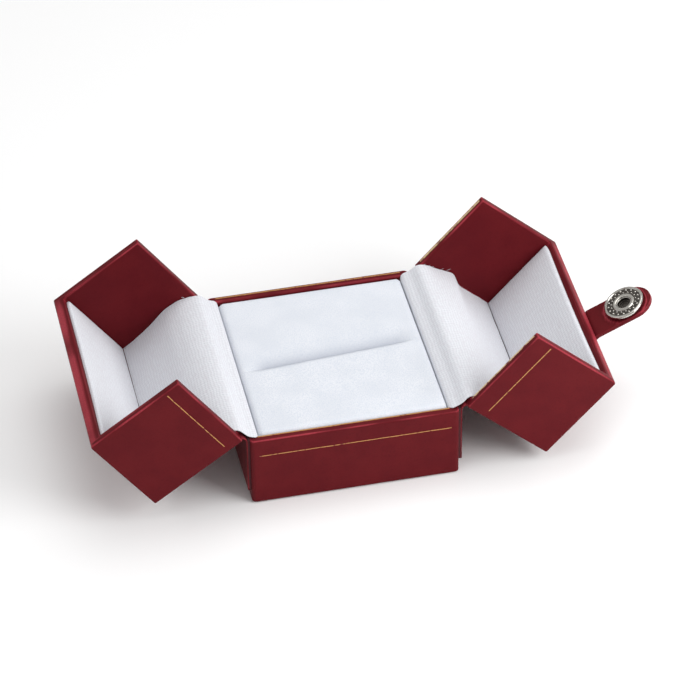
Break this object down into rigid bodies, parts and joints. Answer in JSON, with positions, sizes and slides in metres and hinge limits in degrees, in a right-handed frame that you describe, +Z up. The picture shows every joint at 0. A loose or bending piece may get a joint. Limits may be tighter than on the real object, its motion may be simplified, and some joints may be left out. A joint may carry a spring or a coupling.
{
  "type": "jewellery gift box",
  "caption": "Double-door ring box: a leatherette tray with a slit velvet pad, two hinged half covers lined in white cloth, and a snap strap that closes them.",
  "frame": {"origin": "middle of the tray's underside, on the surface that the box stands on", "axes": "+Z up, +X right to the door that carries the strap, +Y to the back; both doors stand open"},
  "size_m": [0.14, 0.056, 0.0399],
  "materials": {
    "leatherette": "satin",
    "grey_board": "matte",
    "base_paper": "matte",
    "velvet": "matte",
    "foam": "matte",
    "lining_cloth": "satin",
    "gold_foil": "satin",
    "nickel": "polished",
    "spring_steel": "satin"
  },
  "bodies": {
    "tray": {"base_back_board": "grey_board", "base_cover": "leatherette", "base_floor_board": "grey_board", "base_front_board": "grey_board", "base_left_board": "grey_board", "base_right_board": "grey_board", "foil_line_base_back": "gold_foil", "foil_line_base_front": "gold_foil", "foil_rim_back": "gold_foil", "foil_rim_front": "gold_foil", "hinge_card_left": "grey_board", "hinge_card_right": "grey_board", "hinge_leather_left": "leatherette", "hinge_leather_right": "leatherette", "insert_card": "grey_board", "lining_tuck_left": "lining_cloth", "lining_tuck_right": "lining_cloth", "pad_foam_back": "foam", "pad_foam_front": "foam", "pad_velvet_back": "velvet", "pad_velvet_front": "velvet", "underside_sheet": "base_paper"},
    "left_door": {"foil_line_left_back": "gold_foil", "foil_line_left_front": "gold_foil", "hinge_leather_left_door": "leatherette", "left_back_board": "grey_board", "left_cover": "leatherette", "left_front_board": "grey_board", "left_side_board": "grey_board", "left_top_board": "grey_board", "side_lining_left": "lining_cloth", "snap_stud": "nickel", "snap_stud_post": "nickel", "top_lining_left": "lining_cloth"},
    "right_door": {"foil_edge_right_back": "gold_foil", "foil_edge_right_front": "gold_foil", "foil_line_right_back": "gold_foil", "foil_line_right_front": "gold_foil", "hinge_leather_right_door": "leatherette", "right_back_board": "grey_board", "right_cover": "leatherette", "right_front_board": "grey_board", "right_side_board": "grey_board", "right_top_board": "grey_board", "side_lining_right": "lining_cloth", "strap_root_inner": "leatherette", "strap_root_outer": "leatherette", "top_lining_right": "lining_cloth"},
    "strap": {"snap_cap": "nickel", "snap_socket": "nickel", "snap_spring": "spring_steel", "strap_inner": "leatherette", "strap_outer": "leatherette"}
  },
  "joints": [
    {"name": "right_hinge", "type": "hinge", "parent": "tray", "child": "right_door", "pos_m": [0.0262, 0, 0.0193], "axis": [0, 1, 0], "range_deg": [-132.4, 5.6]},
    {"name": "left_hinge", "type": "hinge", "parent": "tray", "child": "left_door", "pos_m": [-0.0262, 0, 0.0193], "axis": [0, -1, 0], "range_deg": [-125.6, 12.4]},
    {"name": "strap_bend", "type": "hinge", "parent": "right_door", "child": "strap", "pos_m": [0.06758, -0.0047, 0.02213], "axis": [0, 1, 0], "range_deg": [-22.5, 45]}
  ]
}
